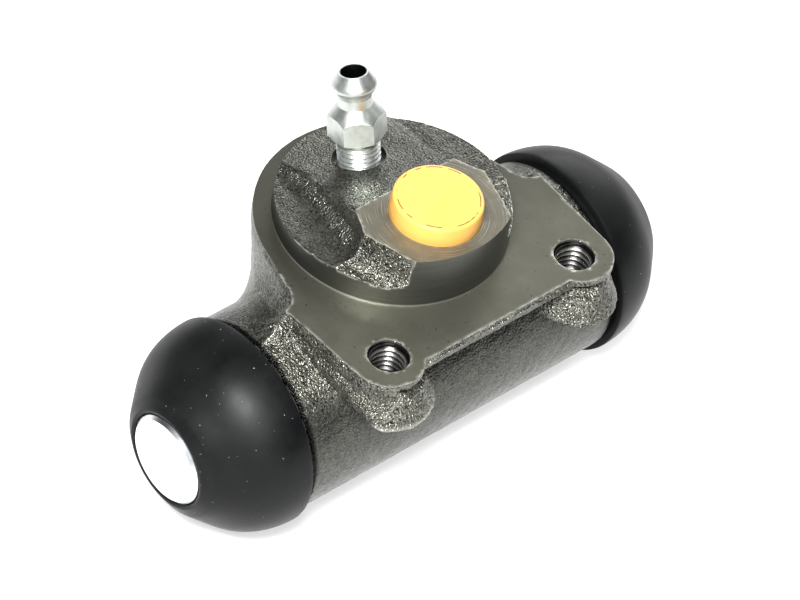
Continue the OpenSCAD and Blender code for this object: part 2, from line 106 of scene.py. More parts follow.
def flange_outline(ax, y, around, ear):
    """Distance from the flange's outline seen from above: seat disc, plate, two ears and the waist."""
    plate = np.maximum(ax - PLATE_X - (y - EAR_Y) * PLATE_FLARE, PLATE_FRONT - y)
    plate = np.maximum(y - PLATE_BACK, plate)
    plate = np.where(y < EAR_Y, np.maximum(ax - EAR_X, PLATE_FRONT - y), plate)
    return np.minimum(np.minimum(plate, around - SEAT_R), np.minimum(ear - EAR_R, waist_outline(ax, y)))


BORE_Y, BORE_Z = -6.0, -19.5
BARREL_R, SHOULDER_X, SHOULDER_CUT = 15.35, 29.6, 0.4
NOSE_R, NOSE_X, NOSE_CUT = 13.2, 34.0, 1.0
GROOVE_R, GROOVE_X, GROOVE_HALF = 12.2, 31.8, 0.9
DIAGONAL = 0.7071


def barrel_form(ax, across):
    """Barrel of the bore's length, with a machined nose and boot groove at each end."""
    barrel = np.maximum(across - BARREL_R, ax - SHOULDER_X)
    barrel = np.maximum(barrel, (across + ax - BARREL_R - SHOULDER_X + SHOULDER_CUT) * DIAGONAL)
    nose = np.maximum(across - NOSE_R, ax - NOSE_X)
    nose = np.maximum(nose, (across + ax - NOSE_R - NOSE_X + NOSE_CUT) * DIAGONAL)
    return barrel, np.maximum(nose, -np.maximum(GROOVE_R - across, np.abs(ax - GROOVE_X) - GROOVE_HALF))


FLANGE_THICK, FLANGE_INSET = 2, 0.12
BURIED_Z = -1
WEB_X, WEB_LEAN, WEB_HIGH = 23.9, 2.7, 10
WEB_HOLLOW_R, WEB_HOLLOW_Z = 8, -10
WEB_FOOT_Y, WEB_FOOT_WAY = -16.1, (-0.765, -0.644)


def web_form(ax, y, z):
    """Web under the plate: leaning sides, a round hollow in front and a foot that runs down to the barrel."""
    web = np.maximum(ax - WEB_X + WEB_LEAN * np.clip((-FLANGE_THICK - z) / WEB_HIGH, 0, 1), PLATE_FRONT - y)
    web = np.where(y < EAR_Y, np.maximum(web, ax - EAR_X), web)
    hollow = WEB_HOLLOW_R - np.hypot(y - PLATE_FRONT, z - WEB_HOLLOW_Z)
    web = np.maximum(web, np.maximum(hollow, y - PLATE_BACK))
    foot = WEB_FOOT_WAY[0] * (y - WEB_FOOT_Y) + WEB_FOOT_WAY[1] * (z - BORE_Z)
    return np.maximum(web, np.maximum(foot, np.maximum(z - BURIED_Z, BORE_Z - z)))


RAIL_X, RAIL_Z, RAIL_R, RAIL_RISE = 22.6, -4.6, 2, 0.6
RAIL_LEAN, RAIL_COS = 0.4, 0.928


def rail_side(ax, y, z):
    """Distance from the outer side of the rail that each lug ends: round above, leaning in below, and rising
    a little from the lug back to the seam."""
    up = z - RAIL_Z - RAIL_RISE * np.clip((y - EAR_Y) / (BORE_Y - EAR_Y), 0, 1)
    over = ax - RAIL_X
    return np.maximum(outer_corner(over, up) - RAIL_R, (over - RAIL_R - RAIL_LEAN * up) * RAIL_COS)


LUG_IN, LUG_R, LUG_LEAN, LUG_COS = 0.4, 7.85, 0.52, 0.887
LUG_TOP, LUG_FOOT, RIGHT_LUG_SHORTER, RIGHT_RAIL_OUT = -1.9, -7.7, 1.2, 0.5
RAIL_IN, RAIL_FOOT = 19.4, -7.3
CREASE_FROM, CREASE_RUN, CREASE_R, CREASE_OUT, CREASE_Z = 20.5, 3, 1.1, 5.6, -2.4
ROOT_INSET, ROOT_DEEPER, ROOT_Z, ROOT_HALF = 0.25, 2.2, -2.35, 1.35


def lug_form(x, ax, y, z, outline):
    """Lug under each ear with a face that leans back, the rail behind it, a crease under the ear's inner side
    and the root between lug and plate. The right lug is a little shorter than the left."""
    lug_x = ax - EAR_X + LUG_IN
    lug_out = np.hypot(np.where((x > 0) & (lug_x < 0), RIGHT_LUG_SHORTER, 1) * lug_x, y - EAR_Y)
    skirt = round_meet((lug_out - LUG_R + LUG_LEAN * (z - LUG_FOOT)) * LUG_COS, z - LUG_TOP, 0.8)
    lug = round_meet(skirt, LUG_FOOT - z, 0.5)
    rail = rail_side(ax - RIGHT_RAIL_OUT * (x > 0), y, z)
    lug = round_meet(lug, rail, 0.5)
    ends = np.maximum(np.maximum(EAR_Y - y, y - BORE_Y), np.maximum(RAIL_IN - ax, RAIL_FOOT - z))
    lug = np.minimum(lug, np.maximum(rail, ends))
    inner = np.clip((CREASE_FROM - ax) / CREASE_RUN, 0, 1)
    lug = np.maximum(lug, CREASE_R * inner - np.hypot(lug_out - CREASE_OUT, z - CREASE_Z))
    inset = ROOT_INSET + ROOT_DEEPER * inner
    return np.minimum(lug, np.maximum(outline + inset, np.abs(z - ROOT_Z) - ROOT_HALF))


NECK_R, NECK_ROUND, NECK_FLARE = 11.68, 7, 1.4
NECK_FOOT, NECK_HIGH, NECK_FRONT = -14.5, 12.5, -10
WAIST_DRAFT, WAIST_FOOT = 0.14, -9.75
THIN_EAR, THIN_FROM, THIN_RUN = 0.9, -21.5, 3


def under_form(x, y, z, relief, seam):
    """Everything below the mounting face: barrel, round neck behind, waist, web, lugs and flange, joined by
    fillets and roughened by a share of the relief each, with the mould's seam raised on them."""
    ax = np.abs(x)
    across, around = np.hypot(y - BORE_Y, z - BORE_Z), np.hypot(x, y)
    barrel, nose = barrel_form(ax, across)
    outline = flange_outline(ax, y, around, np.hypot(ax - EAR_X, y - EAR_Y))
    flare = NECK_FLARE * np.clip((z - NECK_FOOT) / NECK_HIGH, 0, 1)
    neck = np.maximum(outer_corner(around - flare - NECK_R, NECK_FOOT - z) - NECK_ROUND, NECK_FRONT - y)
    waist = waist_outline(ax, y) - WAIST_DRAFT * (z - BURIED_Z)
    waist = np.maximum(waist, np.maximum(WAIST_FOOT - z, z - BURIED_Z))
    form = fillet_join(barrel + 0.3 * relief, fillet_join(neck, waist, 0.8) + 0.7 * relief, 4.5)
    form = fillet_join(form, web_form(ax, y, z) + 0.4 * relief, 1.4)
    form = fillet_join(form, lug_form(x, ax, y, z, outline) + 0.8 * relief, 0.6)
    thick = FLANGE_THICK - THIN_EAR * np.clip((THIN_FROM - y) / THIN_RUN, 0, 1)
    flange = np.maximum(outline + 0.12 * relief + FLANGE_INSET, np.maximum(z, -thick - z))
    form = np.maximum(fillet_join(form, flange, 0.3) - seam, ax - SHOULDER_X)
    return np.maximum(np.minimum(form, nose), z)


SPIGOT_R, SPIGOT_FOOT, SPIGOT_TAPER, SPIGOT_HIGH = 17.5, 1.3, 0.2, 8.7


def spigot_wall(around, z):
    """Distance from the spigot's turned wall: straight at the foot, then tapering a little to the top."""
    return around - SPIGOT_R + SPIGOT_TAPER * np.clip((z - SPIGOT_FOOT) / SPIGOT_HIGH, 0, 1)


PORT_X, PORT_Y, PORT_R, PORT_FACE = -0.5, -8.6, 5.0, 9.0
TROUGH_Z, TROUGH_FALL_FRONT, TROUGH_FALL_BACK, TROUGH_COS = 4.2, 0.14, 0.05, 0.99
BOSS_BACK, BOSS_BACK_X, BOSS_BACK_WAY = -1.8, 9.45, (0.911, 0.412)
BOSS_WIDE_Y, BOSS_WIDE_X, BOSS_FRONT_WAY, BOSS_DRAFT = -6.45, 11.5, (0.956, -0.2925), 0.06
BANK_TOP, BANK_FALL, BANK_COS, BANK_FRONT = 8.9, 0.3057, 0.956, -3
BANK_LEFT, BANK_TURN, BANK_TURN_Y, BANK_TURN_COS = 10.3, 0.15, -2, 0.989
BANK_RIGHT, BANK_DRAFT, BANK_FOOT = 8.6, 0.07, 1.8


def spigot_form(x, y, z, relief, seam):
    """Turned spigot whose cast top carries the port boss, the bleed screw's sloping bank with a slanting foot
    at its sides, and the troughs beside them."""
    aside = np.abs(x - PORT_X)
    fall = np.maximum(TROUGH_FALL_FRONT * (BORE_Y - y), TROUGH_FALL_BACK * (y - BORE_Y))
    ground = (z - TROUGH_Z + fall) * TROUGH_COS + relief
    back = BOSS_BACK_WAY[0] * (aside - BOSS_BACK_X) + BOSS_BACK_WAY[1] * (y - BOSS_BACK)
    front = BOSS_FRONT_WAY[0] * (aside - BOSS_WIDE_X) + BOSS_FRONT_WAY[1] * (y - BOSS_WIDE_Y)
    boss = np.maximum(np.maximum(back, front), y - BOSS_BACK) - BOSS_DRAFT * (PORT_FACE - z) + 0.7 * relief
    slope = (z - BANK_TOP + BANK_FALL * (y - BOSS_BACK)) * BANK_COS
    left = (-x - BANK_LEFT + BANK_TURN * (y - BANK_TURN_Y)) * BANK_TURN_COS
    sides = np.maximum(left, x - BANK_RIGHT) - BANK_DRAFT * (PORT_FACE - z)
    sides = np.minimum(sides, (sides + ground - BANK_FOOT) * DIAGONAL)
    bank = np.maximum(round_meet(sides, slope, 0.3), BANK_FRONT - y) + 0.7 * relief
    top = np.minimum(fillet_join(ground, boss, 2.2), fillet_join(ground, bank, 0.6)) - seam
    solid = np.maximum(top, spigot_wall(np.hypot(x, y), z))
    return np.maximum(solid, np.maximum(z - PORT_FACE, BURIED_Z - z))


BORE_R, BORE_LEAD = 10.32, 0.6
HOLE_X, HOLE_R, HOLE_MOUTH, MOUTH_LIMIT, HOLE_FOOT = 18.0, 3.05, 3.17, 4.5, -8.2
PORT_FOOT = -2
SPOT_R, SPOT_FOOT, BLEED_R, BLEED_DEEP = 3.95, -0.9, 3.3, -13.2


def holes(x, y, z):
    """Bore with its lead-in, chamfered tapped holes, inlet port and the bleed screw's spot-faced hole."""
    ax = np.abs(x)
    across = np.hypot(y - BORE_Y, z - BORE_Z) - BORE_R
    bore = np.minimum(across, (across - ax + NOSE_X - BORE_LEAD) * DIAGONAL)
    hole = np.hypot(ax - HOLE_X, y - EAR_Y)
    chamfer = np.maximum((hole - HOLE_MOUTH - z) * DIAGONAL, hole - MOUTH_LIMIT)
    tapped = np.maximum(np.minimum(hole - HOLE_R, chamfer), HOLE_FOOT - z)
    port = np.maximum(np.hypot(x - PORT_X, y - PORT_Y) - PORT_R, PORT_FOOT - z)
    height, apart = along_bleed(x, y, z)
    spot = np.maximum(apart - SPOT_R, SPOT_FOOT - height)
    bleed = np.minimum(spot, np.maximum(apart - BLEED_R, BLEED_DEEP - height))
    return np.minimum(np.minimum(bore, tapped), np.minimum(port, bleed))


def seam_ridge(x, y, z):
    """Height of the mould's seam: a narrow bell over the parting plane, wandering and broken at random."""
    wander = 0.15 * swell(x, y, z, 4.0, 8, 4)
    high = np.clip(0.2 + 0.1 * swell(x, y, z, 1.5, 10, 3), 0.03, 0.4)
    return high * np.exp(-((y - BORE_Y - wander) / 0.36) ** 2)


def casting(x, y, z):
    """Distance in mm from the casting's surface, below zero inside the iron: cast forms, less the holes. The
    sand leaves a relief, about twice as rough in front of the seam, and the seam itself is a ragged ridge."""
    front = 0.5 - 0.5 * np.tanh((y - BORE_Y) / 0.8)
    relief = (0.5 + 1.2 * front) * (0.042 * swell(x, y, z, 1.8, 20, 1) + 0.03 * swell(x, y, z, 5.0, 12, 2))
    seam = seam_ridge(x, y, z)
    solid = np.minimum(under_form(x, y, z, relief, seam), spigot_form(x, y, z, relief, seam))
    return np.maximum(solid, -holes(x, y, z))


def edge_crossings(distance, field, axes, axis, step):
    """Where the grid's edges along one axis pass the surface, found by false position and halving,
    with the surface's normal there, the four cells round each edge and whether the edge goes inwards."""
    first, last = [slice(None)] * 3, [slice(None)] * 3
    first[axis], last[axis] = slice(0, -1), slice(1, None)
    starts = np.argwhere((field[tuple(first)] < 0) != (field[tuple(last)] < 0))
    ends = starts.copy()
    ends[:, axis] += 1
    corner = np.stack([axes[k][starts[:, k]] for k in range(3)], 1)
    near, far = np.zeros(len(corner)), np.ones(len(corner))
    at_near, at_far = field[tuple(starts.T)], field[tuple(ends.T)]
    inwards = at_near >= 0
    point = corner.copy()
    for turn in range(6):
        share = (near + far) / 2 if turn % 2 else near + (far - near) * at_near / (at_near - at_far)
        point[:, axis] = corner[:, axis] + step * share
        here = distance(*point.T)
        same = (here >= 0) == inwards
        near, at_near = np.where(same, share, near), np.where(same, here, at_near)
        far, at_far = np.where(same, far, share), np.where(same, at_far, here)
    point[:, axis] = corner[:, axis] + step * (near + (far - near) * at_near / (at_near - at_far))
    nudges = 0.02 * np.eye(3)
    normal = np.stack([distance(*(point + e).T) - distance(*(point - e).T) for e in nudges], 1)
    normal /= np.linalg.norm(normal, axis=1, keepdims=True) + 1e-12
    ring = []
    for back in ((1, 1), (0, 1), (0, 0), (1, 0)):
        cell = starts.copy()
        cell[:, (axis + 1) % 3] -= back[0]
        cell[:, (axis + 2) % 3] -= back[1]
        ring.append(np.ravel_multi_index(cell.T, field.shape))
    return point, normal, np.stack(ring, 1), inwards


def contour(distance, low, high, step):
    """Skin of a solid given by distance, by dual contouring: each grid cell that the surface passes gets one
    point, where the planes found on its edges meet best, so that edges stay sharp, and each crossed grid edge
    gets a face."""
    axes = [np.arange(a, b + step, step) for a, b in zip(low, high)]
    field = np.stack([distance(*np.meshgrid([x], axes[1], axes[2], indexing="ij"))[0] for x in axes[0]])
    found = [edge_crossings(distance, field, axes, axis, step) for axis in range(3)]
    point, normal, ring, inwards = (np.concatenate(part) for part in zip(*found))
    cells, slot = np.unique(ring.ravel(), return_inverse=True)
    slot = slot.reshape(ring.shape)

    def gather(values):
        return sum(np.bincount(slot[:, k], values, minlength=len(cells)) for k in range(4))

    count = gather(np.ones(len(point)))
    middle = np.stack([gather(point[:, k]) for k in range(3)], 1) / count[:, None]
    rows = [np.stack([gather(normal[:, i] * normal[:, j]) for j in range(3)], 1) for i in range(3)]
    spread = np.stack(rows, 1)
    level = (normal * point).sum(1)
    pull = np.stack([gather(normal[:, k] * level) for k in range(3)], 1)
    pull -= np.einsum("nij,nj->ni", spread, middle)
    steady = 0.03 * count[:, None, None] * np.eye(3)
    spot = middle + np.linalg.solve(spread + steady, pull[..., None])[..., 0]
    base = np.unravel_index(cells, field.shape)
    corner = np.stack([axes[k][base[k]] for k in range(3)], 1)
    spot = np.clip(spot, corner - 0.1 * step, corner + 1.1 * step)
    return spot, np.where(inwards[:, None], slot[:, ::-1], slot)


def split_flat(points, quads):
    """Each four-sided face as two triangles, cut along the diagonal whose halves lie flatter together."""
    def bend(a, b, c, d):
        n = np.cross(points[b] - points[a], points[c] - points[a])
        m = np.cross(points[c] - points[a], points[d] - points[a])
        return (n * m).sum(1) / (np.linalg.norm(n, axis=1) * np.linalg.norm(m, axis=1) + 1e-12)

    a, b, c, d = quads.T
    flat = bend(a, b, c, d) >= bend(b, c, d, a)
    one = np.where(flat[:, None], np.stack([a, b, c], 1), np.stack([a, b, d], 1))
    two = np.where(flat[:, None], np.stack([a, c, d], 1), np.stack([b, c, d], 1))
    return np.concatenate([one, two])


def make_piece(name, points_mm, faces, sharp_degrees):
    """Mesh object at the origin, from points in mm and faces, smooth but for edges sharper than the angle."""
    mesh = bpy.data.meshes.new(name)
    mesh.from_pydata((points_mm * MM).tolist(), [], faces if isinstance(faces, list) else faces.tolist())
    mesh.validate()
    mesh.polygons.foreach_set("use_smooth", np.ones(len(mesh.polygons), bool))
    mesh.set_sharp_from_angle(angle=math.radians(sharp_degrees))
    piece = bpy.data.objects.new(name, mesh)
    bpy.context.scene.collection.objects.link(piece)
    return piece


GRID_LOW, GRID_HIGH, GRID_STEP = (-34.6, -29.4, -35.7), (34.6, 21.2, 9.9), 0.48
body_points, body_quads = contour(casting, GRID_LOW, GRID_HIGH, GRID_STEP)
body_faces = split_flat(body_points, body_quads)
body = make_piece("body_casting", body_points, body_faces, 38)
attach(body, "housing")
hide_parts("body")


def paint(name, colour, roughness, metallic=0.0):
    """Material with one shader, its plain values set on the shader, and the place on the piece in metres."""
    material = bpy.data.materials.new(name)
    material.use_nodes = True
    tree = material.node_tree
    shader = tree.nodes["Principled BSDF"]
    shader.inputs["Base Color"].default_value = (*colour, 1)
    shader.inputs["Roughness"].default_value = roughness
    shader.inputs["Metallic"].default_value = metallic
    place = tree.nodes.new("ShaderNodeTexCoord").outputs["Object"]
    return material, tree, shader, place


def node(tree, kind, inputs, **settings):
    """One shader node: its settings, then its inputs, where a socket is linked and a value is set."""
    made = tree.nodes.new("ShaderNode" + kind)
    for key, value in settings.items():
        setattr(made, key, value)
    for key, value in inputs.items():
        if isinstance(value, bpy.types.NodeSocket):
            tree.links.new(value, made.inputs[key])
        else:
            made.inputs[key].default_value = value
    return made


def grains(tree, place, per_metre, detail=3.0, roughness=0.55):
    """Cloudy noise of that many grains to the metre."""
    return node(tree, "TexNoise", {"Vector": place, "Scale": per_metre, "Detail": detail,
                                   "Roughness": roughness}).outputs["Fac"]


def stretch(tree, place, scale):
    """Place with each axis scaled, so that noise is drawn out along the axes of low scale."""
    return node(tree, "Mapping", {"Vector": place, "Scale": scale}).outputs[0]


def reach(tree, place, axis):
    """Distance of the place along one axis."""
    return node(tree, "SeparateXYZ", {"Vector": place}).outputs[axis]


def between(tree, value, low, high, to_low=0.0, to_high=1.0):
    """Value carried from one range to another and held at its ends."""
    return node(tree, "MapRange", {"Value": value, "From Min": low, "From Max": high,
                                   "To Min": to_low, "To Max": to_high}).outputs["Result"]


def sums(tree, kind, a, b):
    """One sum of two values, such as MULTIPLY or ADD."""
    return node(tree, "Math", {0: a, 1: b}, operation=kind).outputs[0]


def blend_colour(tree, share, a, b):
    """Colour between a and b by the share of b."""
    made = node(tree, "Mix", {"Factor": share}, data_type="RGBA")
    for socket, value in ((made.inputs[6], a), (made.inputs[7], b)):
        if isinstance(value, bpy.types.NodeSocket):
            tree.links.new(value, socket)
        else:
            socket.default_value = (*value, 1)
    return made.outputs[2]


def rubbed_and_lit_edges(tree, place, narrow, speckle):
    """Share of bright metal on the edges, partly rubbed bare and partly a painted highlight: the edge
    attribute, narrowed to the edge and broken up by noise.
    """
    edge = node(tree, "Attribute", {}, attribute_name="rubbed_and_lit_edge").outputs["Fac"]
    return sums(tree, "MULTIPLY", sums(tree, "POWER", edge, narrow),
                between(tree, grains(tree, place, speckle, 4.0), 0.3, 0.6))


def painted_shade_behind(tree, place, colour, dark):
    """Painted shade: colour that goes 0.6 of the way to a dark one, from the plate's middle to the spigot's.
    """
    behind = between(tree, reach(tree, place, "Y"), -0.014, 0.002, 0.0, 0.6)
    return blend_colour(tree, behind, colour, dark)


def emboss(tree, shader, height, strength, distance):
    """Fine relief on a shader, from a height of 0 to 1 and the distance in metres that it stands for."""
    made = node(tree, "Bump", {"Strength": strength, "Distance": distance, "Height": height})
    tree.links.new(made.outputs["Normal"], shader.inputs["Normal"])


IRON_DARK, IRON_MID, IRON_BARE = (0.06, 0.061, 0.053), (0.2, 0.2, 0.17), (0.6, 0.59, 0.52)

# as cast: grey-black sand skin, its grains and pits sparkling where they face the light
cast_iron, tree, shader, place = paint("sand_cast_iron", IRON_MID, 0.36, 0.8)
cloud = between(tree, grains(tree, place, 240, 6.0, 0.65), 0.3, 0.7)
skin_colour = blend_colour(tree, cloud, IRON_DARK, IRON_MID)
fleck = between(tree, grains(tree, place, 3400, 2.0), 0.53, 0.66)
skin_colour = blend_colour(tree, sums(tree, "MULTIPLY", fleck, 0.8), skin_colour, (0.42, 0.41, 0.35))
pit = between(tree, grains(tree, place, 2500, 1.0), 0.57, 0.66)
skin_colour = blend_colour(tree, pit, skin_colour, (0.012, 0.012, 0.01))
# painted shade: darker skin on the barrel's underside, the web's front and the half behind the seam, where
# the relief is also calmer
smooth_and_shade = node(tree, "Attribute", {}, attribute_name="smooth_and_shade").outputs["Fac"]
skin_colour = blend_colour(tree, smooth_and_shade, skin_colour, (0.045, 0.047, 0.041))
seam_line = node(tree, "Attribute", {}, attribute_name="seam").outputs["Fac"]
skin_colour = blend_colour(tree, seam_line, skin_colour, IRON_BARE)
# painted shadow: black in the gap beside the boot's rim
groove = node(tree, "Attribute", {}, attribute_name="groove").outputs["Fac"]
skin_colour = blend_colour(tree, groove, skin_colour, (0.004, 0.004, 0.004))
# edges painted bright: partly rubbed bare, partly a painted highlight
bare = rubbed_and_lit_edges(tree, place, 4.0, 900)
tree.links.new(blend_colour(tree, bare, skin_colour, IRON_BARE), shader.inputs["Base Color"])
polish = between(tree, grains(tree, place, 1100, 3.0), 0.3, 0.7, 0.28, 0.42)
tree.links.new(polish, shader.inputs["Roughness"])
front = between(tree, reach(tree, place, "Y"), -0.0066, -0.0054, 1.0, 0.55)
crumple = node(tree, "Attribute", {}, attribute_name="crumple").outputs["Fac"]
calm = sums(tree, "SUBTRACT", sums(tree, "MAXIMUM", front, crumple), sums(tree, "MULTIPLY", smooth_and_shade, 1.15))
lumps = sums(tree, "MULTIPLY", grains(tree, place, 2800, 1.6, 0.5), calm)
sand = sums(tree, "ADD", lumps, sums(tree, "MULTIPLY", grains(tree, place, 3600, 0.0), 0.2))
emboss(tree, shader, sand, 1.0, 0.0004)

# milled flange: smooth olive grey with faint cutter marks, stains and small pits, and painted shade towards
# the spigot
milled_iron, tree, shader, place = paint("milled_iron", (0.14, 0.14, 0.11), 0.34, 0.7)
stain = between(tree, grains(tree, place, 130, 5.0, 0.6), 0.3, 0.7)
face_colour = blend_colour(tree, stain, (0.115, 0.115, 0.089), (0.16, 0.159, 0.127))
pit = between(tree, grains(tree, place, 1500, 2.0), 0.66, 0.76)
face_colour = blend_colour(tree, pit, face_colour, (0.03, 0.03, 0.025))
# painted shade: darker from the plate's middle back to the spigot
face_colour = painted_shade_behind(tree, place, face_colour, (0.035, 0.036, 0.031))
# edges painted bright: partly rubbed bare, partly a painted highlight
bare = rubbed_and_lit_edges(tree, place, 2.2, 700)
tree.links.new(blend_colour(tree, bare, face_colour, IRON_BARE), shader.inputs["Base Color"])
tree.links.new(between(tree, stain, 0, 1, 0.38, 0.3), shader.inputs["Roughness"])
marks = grains(tree, stretch(tree, place, (1, 8, 1)), 500, 3.0, 0.5)
emboss(tree, shader, sums(tree, "SUBTRACT", marks, pit), 0.5, 0.00002)

# faced port: lathe scratches round the port, from noise of the distance to its axis
port_face_iron, tree, shader, place = paint("faced_port_iron", (0.2, 0.19, 0.145), 0.34, 0.6)
to_port = (-PORT_X * MM, -PORT_Y * MM, -PORT_FACE * MM)
aside = node(tree, "Mapping", {"Vector": place, "Location": to_port}).outputs[0]
away = node(tree, "VectorMath", {0: aside}, operation="LENGTH").outputs["Value"]
lines = node(tree, "TexNoise", {"W": away, "Scale": 3500.0, "Detail": 4.0, "Roughness": 0.7},
             noise_dimensions="1D").outputs["Fac"]
stain = between(tree, grains(tree, place, 170, 5.0, 0.6), 0.3, 0.7)
face_colour = blend_colour(tree, stain, (0.12, 0.114, 0.088), (0.2, 0.19, 0.148))
broken = between(tree, grains(tree, place, 420, 3.0), 0.4, 0.6)
scratch = sums(tree, "MULTIPLY", between(tree, lines, 0.55, 0.72), broken)
face_colour = blend_colour(tree, sums(tree, "MULTIPLY", scratch, 0.9), face_colour, (0.5, 0.48, 0.4))
# edges painted bright: partly rubbed bare, partly a painted highlight
bare = rubbed_and_lit_edges(tree, place, 2.2, 700)
tree.links.new(blend_colour(tree, bare, face_colour, IRON_BARE), shader.inputs["Base Color"])
emboss(tree, shader, lines, 0.5, 0.00003)

# turned spigot wall: smooth and dark, with fine rings along its height, a painted highlight round its foot
# and painted shade behind
spigot_iron, tree, shader, place = paint("turned_spigot_iron", (0.13, 0.13, 0.113), 0.34, 0.75)
bands = grains(tree, stretch(tree, place, (0.05, 0.05, 1)), 3000, 3.0, 0.5)
wall_colour = blend_colour(tree, bands, (0.06, 0.06, 0.053), (0.1, 0.099, 0.086))
# painted shade: darker from the plate's middle back to the spigot
wall_colour = painted_shade_behind(tree, place, wall_colour, (0.02, 0.02, 0.018))
# painted highlight: a thin bright ring round the wall's foot
foot = reach(tree, place, "Z")
wall_colour = blend_colour(tree, between(tree, foot, 0.00035, 0.00015), wall_colour, (0.4, 0.39, 0.35))
# edges painted bright: partly rubbed bare, partly a painted highlight
bare = rubbed_and_lit_edges(tree, place, 2.2, 700)
tree.links.new(blend_colour(tree, bare, wall_colour, IRON_BARE), shader.inputs["Base Color"])
emboss(tree, shader, bands, 0.4, 0.00002)

# fresh cut metal: hole chamfers, bore and noses
cut_iron, tree, shader, place = paint("cut_iron", (0.2, 0.195, 0.175), 0.34, 0.8)
tree.links.new(between(tree, grains(tree, place, 800, 3.0), 0.3, 0.7, 0.22, 0.4), shader.inputs["Roughness"])

for material in (cast_iron, milled_iron, port_face_iron, spigot_iron, cut_iron):
    body.data.materials.append(material)
centre = body_points[body_faces].mean(1)
cx, cy, cz = centre.T
around = np.hypot(cx, cy)
CAST, MILLED, FACED, TURNED, CUT = range(5)
NEAR_FLAT, NEAR_WALL, NEAR_HOLE = 0.04, 0.05, 0.08
finish = np.full(len(body_faces), CAST, np.int32)
finish[(np.abs(cz) < NEAR_FLAT) & (around > SPIGOT_R - 0.1)] = MILLED
finish[np.abs(cz - PORT_FACE) < NEAR_FLAT] = FACED
finish[(np.abs(spigot_wall(around, cz)) < NEAR_WALL) & (cz > 0.02) & (finish == CAST)] = TURNED
finish[(np.abs(holes(cx, cy, cz)) < NEAR_HOLE) & (finish == CAST)] = CUT
height, apart = along_bleed(cx, cy, cz)
finish[(height > SPOT_FOOT - 0.4) & (apart < SPOT_R + 0.15) & (finish == CUT)] = TURNED
finish[(np.abs(cx) > SHOULDER_X - 0.02) & (np.hypot(cy - BORE_Y, cz - BORE_Z) < BARREL_R)] = CUT
body.data.polygons.foreach_set("material_index", finish)


def mark(piece, name, values):
    """One value for each point of a piece, under a name that its material reads."""
    layer = piece.data.attributes.new(name, "FLOAT", "POINT")
    layer.data.foreach_set("value", values.astype(np.float32).ravel())


# edges where machined faces meet the cast skin are painted bright, partly rubbed-bare iron and partly painted
# highlight, but not the rims behind and the bleed hole
machined = (finish > CAST) & (finish < CUT)
px, py, pz = body_points.T
around, across = np.hypot(px, py), np.hypot(py - BORE_Y, pz - BORE_Z)
near_cut, near_cast = np.zeros(len(px)), np.zeros(len(px))
near_cut[body_faces[machined].ravel()] = 1
near_cast[body_faces[~machined].ravel()] = 1
rubbed_and_lit = near_cut * near_cast
rubbed_and_lit[(np.abs(around - SEAT_R) < 0.6) & (py > BORE_Y + 1)] = 0
rubbed_and_lit[(around > SPIGOT_R - 0.5) & (around < SPIGOT_R + 0.1) & (py > 2)] *= 0.3
rubbed_and_lit[along_bleed(px, py, pz)[1] < SPOT_R + 0.45] = 0
mark(body, "rubbed_and_lit_edge", rubbed_and_lit)

# the seam stands out on the cast skin, and so does the left lug's lower rim
RIM_Z, RIM_WIDE, RIM_FROM, RIM_TO = -7.4, 0.3, 6.9, 8.5
cast_seam = np.clip(3 * seam_ridge(px, py, pz) - 0.25, 0, 1) * near_cast * (1 - near_cut)
lug_out = np.hypot(px + EAR_X - LUG_IN, py - EAR_Y)
rim = 0.7 * np.exp(-((pz - RIM_Z) / RIM_WIDE) ** 2)
cast_seam = np.maximum(cast_seam, rim * (lug_out > RIM_FROM) * (lug_out < RIM_TO) * (py < EAR_Y))
mark(body, "seam", cast_seam)

# the barrel's lower skin and the web's hollow front are smoother and painted darker as shade, and the half
# behind the seam is smoother and painted darker
smooth_and_shade = 0.75 * np.exp(-((across - BARREL_R) / 0.6) ** 2) * np.clip((-7 - pz) / 4, 0, 1)
smooth_and_shade = np.maximum(smooth_and_shade, 0.5 * np.clip(py - BORE_Y, 0, 1))
web_front = np.clip((12 - np.abs(px)) / 2, 0, 1) * np.clip(-12 - py, 0, 1) * (pz < -1.2)
mark(body, "smooth_and_shade", np.maximum(smooth_and_shade, 0.65 * web_front))

# the flanks that face along the bore are more crumpled than the rest
facing = np.zeros(len(px) * 3)
body.data.vertices.foreach_get("normal", facing)
mark(body, "crumple", 1.3 * np.clip((np.abs(facing[::3]) - 0.35) / 0.3, 0, 1) * (pz > -8))

# painted shadow: the gap between the barrel's end and the boot's rim is painted black
mark(body, "groove", np.clip((np.abs(px) - SHOULDER_X + 0.8) / 0.4, 0, 1))

# Threads of the two bolt holes: M6, cut with a tap right through each lug. Bare iron, its crests painted
# light as a highlight, its roots and depths painted black as shade.
THREAD_PITCH, THREAD_DEEP, THREAD_TOP, THREAD_FOOT = 1.0, 0.55, -0.4, -7.9
ROOT_R, SLEEVE_R = 3.04, 3.12


def skin_faces(rows, cols, closed):
    """Four-sided faces of a grid whose columns close on themselves, and whose rows do too if it is closed."""
    r = np.arange(rows if closed else rows - 1)[:, None]
    c = np.arange(cols)[None, :]
    r2, c2 = (r + 1) % rows, (c + 1) % cols
    corners = [r * cols + c, r * cols + c2, r2 * cols + c2, r2 * cols + c]
    return np.stack([np.broadcast_to(k, (len(r), cols)).ravel() for k in corners], 1)


def thread_wave(turns):
    """Height of a thread's flank, 0 in the root to 1 on the crest: a triangle wave with short flats."""
    return np.clip(1.25 * (1 - 2 * np.abs(turns % 1 - 0.5)) - 0.12, 0, 1)


